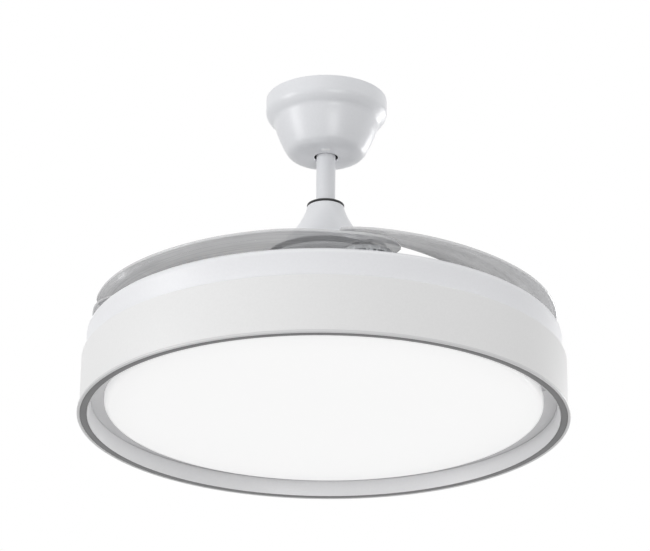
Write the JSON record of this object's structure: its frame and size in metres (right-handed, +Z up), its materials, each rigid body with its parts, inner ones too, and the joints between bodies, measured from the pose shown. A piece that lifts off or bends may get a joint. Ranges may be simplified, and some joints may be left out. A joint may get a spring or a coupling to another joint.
{
  "type": "ceiling fan with folding blades and lamp",
  "caption": "Ceiling fan on a short downrod whose smoky blades fold away on top of a wide round lamp with an opal diffuser.",
  "frame": {"origin": "centre of the bracket's top face, which is screwed to the ceiling", "axes": "+Z up out of the ceiling face, along the downrod; -Y towards the viewer of the picture, +X to the viewer's right"},
  "size_m": [0.5, 0.5, 0.36],
  "materials": {
    "white_enamel": "satin white enamel",
    "drum_enamel": "satin cool white enamel",
    "shade_enamel": "matt white enamel",
    "grey_enamel": "satin light grey enamel",
    "dark_inlay": "anodised dark grey",
    "black_enamel": "satin black enamel",
    "black_rubber": "soft rubber",
    "black_plastic": "moulded nylon",
    "zinc_steel": "zinc plated",
    "laminations": "stacked sheet edges",
    "copper": "enamelled copper wire",
    "magnet": "sintered ferrite",
    "opal": "opal acrylic",
    "circuit_white": "white solder mask",
    "moulded_grey": "moulded acetal",
    "smoky_blade": "smoky transparent polycarbonate"
  },
  "bodies": {
    "ceiling": {"ceiling_bracket": "zinc_steel", "canopy": "white_enamel", "canopy_screw_1": "zinc_steel", "canopy_screw_2": "zinc_steel", "receiver_box": "black_plastic", "receiver_window": "opal"},
    "hanger": {"hanger_ball": "black_plastic"},
    "suspension": {"hanger_pin": "zinc_steel", "downrod": "white_enamel", "dust_ring": "black_rubber", "motor_cover": "white_enamel", "yoke": "zinc_steel", "yoke_pin": "zinc_steel", "motor_shaft": "zinc_steel", "stator_core": "laminations", "stator_winding": "copper", "lamp_drum": "drum_enamel", "lamp_washer": "zinc_steel", "lamp_nut": "zinc_steel", "led_board": "circuit_white", "led_driver": "moulded_grey", "shade": "shade_enamel", "rim_ring": "grey_enamel", "rim_inlay": "dark_inlay", "inner_bezel": "grey_enamel", "lens_ring": "grey_enamel"},
    "rotor": {"rotor_upper": "white_enamel", "rotor_lower": "white_enamel", "magnet_ring": "magnet", "bearing_upper": "zinc_steel", "bearing_lower": "zinc_steel", "carrier_plate": "black_enamel", "pivot_pin_1": "zinc_steel", "pivot_pin_2": "zinc_steel", "pivot_pin_3": "zinc_steel", "pivot_pin_4": "zinc_steel", "pivot_cap_1": "moulded_grey", "pivot_cap_2": "moulded_grey", "pivot_cap_3": "moulded_grey", "pivot_cap_4": "moulded_grey"},
    "sync": {"sync_ring": "moulded_grey"},
    "blade_one": {"blade_arm_1": "zinc_steel", "return_spring_1": "zinc_steel", "blade_1": "smoky_blade", "blade_screw_1": "zinc_steel"},
    "blade_two": {"blade_arm_2": "zinc_steel", "return_spring_2": "zinc_steel", "blade_2": "smoky_blade", "blade_screw_2": "zinc_steel"},
    "blade_three": {"blade_arm_3": "zinc_steel", "return_spring_3": "zinc_steel", "blade_3": "smoky_blade", "blade_screw_3": "zinc_steel"},
    "blade_four": {"blade_arm_4": "zinc_steel", "return_spring_4": "zinc_steel", "blade_4": "smoky_blade", "blade_screw_4": "zinc_steel"},
    "lens": {"diffuser": "opal"}
  },
  "joints": [
    {"name": "ball_tip", "type": "hinge", "parent": "ceiling", "child": "hanger", "pos_m": [0, 0, -0.038], "axis": [1, 0, 0], "range_deg": [-3, 3]},
    {"name": "rod_rock", "type": "hinge", "parent": "hanger", "child": "suspension", "pos_m": [0, 0, -0.038], "axis": [0, 1, 0], "range_deg": [-3, 3]},
    {"name": "fan_spin", "type": "hinge", "parent": "suspension", "child": "rotor", "pos_m": [0, 0, -0.23], "axis": [0, 0, 1], "continuous": true},
    {"name": "blade_1_fold", "type": "hinge", "parent": "rotor", "child": "blade_one", "pos_m": [0.1878, 0.03992, -0.258], "axis": [0, 0, 1], "range_deg": [0, 134], "stiffness_Nm_per_rad": 0.02},
    {"name": "blade_2_fold", "type": "hinge", "parent": "rotor", "child": "blade_two", "pos_m": [-0.03992, 0.1878, -0.258], "axis": [0, 0, 1], "range_deg": [0, 134], "stiffness_Nm_per_rad": 0.02},
    {"name": "blade_3_fold", "type": "hinge", "parent": "rotor", "child": "blade_three", "pos_m": [-0.1878, -0.03992, -0.258], "axis": [0, 0, 1], "range_deg": [0, 134], "stiffness_Nm_per_rad": 0.02},
    {"name": "blade_4_fold", "type": "hinge", "parent": "rotor", "child": "blade_four", "pos_m": [0.03992, -0.1878, -0.258], "axis": [0, 0, 1], "range_deg": [0, 134], "stiffness_Nm_per_rad": 0.02},
    {"name": "sync_turn", "type": "hinge", "parent": "rotor", "child": "sync", "pos_m": [0, 0, -0.267], "axis": [0, 0, 1], "range_deg": [-19.14, 0]},
    {"name": "diffuser_twist", "type": "hinge", "parent": "suspension", "child": "lens", "pos_m": [0, 0, -0.345], "axis": [0, 0, 1], "range_deg": [0, 12]}
  ],
  "couplings": [
    {"joint": "blade_2_fold", "follows": "blade_1_fold", "ratio": 1},
    {"joint": "blade_3_fold", "follows": "blade_1_fold", "ratio": 1},
    {"joint": "blade_4_fold", "follows": "blade_1_fold", "ratio": 1},
    {"joint": "sync_turn", "follows": "blade_1_fold", "ratio": -0.14286}
  ]
}
